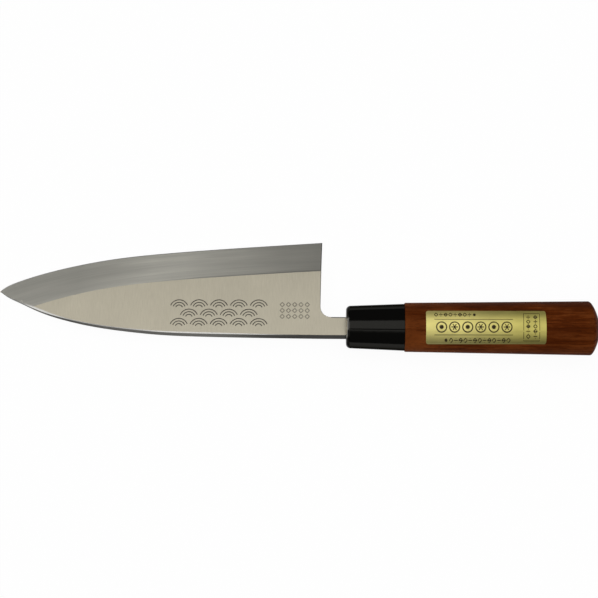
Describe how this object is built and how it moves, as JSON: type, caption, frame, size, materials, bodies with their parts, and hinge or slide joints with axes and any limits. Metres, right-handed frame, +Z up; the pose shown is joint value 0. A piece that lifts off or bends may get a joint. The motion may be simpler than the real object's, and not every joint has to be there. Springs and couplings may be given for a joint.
{
  "type": "deba knife",
  "caption": "Deba knife: thick single-bevel blade with a hollow-ground flat back, black ferrule and a red-brown oval wooden handle with a gold label; lies on its back.",
  "frame": {"origin": "on the table, under the centre of the knife's box, as the knife lies at rest on its flat back", "axes": "+Z up from the table, out of the bevelled side; +X from the tip towards the butt; +Y from the spine to the edge. The handle is thicker than the blade, so the blade's back is tilted 4.6 degrees about X and 1.6 degrees about Y from the table."},
  "size_m": [0.3074, 0.0598, 0.0251],
  "materials": {
    "blade": "satin",
    "ferrule": "gloss",
    "handle": "satin",
    "mouth_seal": "matte",
    "label": "satin"
  },
  "bodies": {
    "root": {"blade": "blade", "ferrule": "ferrule", "handle": "handle", "mouth_seal": "mouth_seal", "label": "label"}
  },
  "joints": []
}
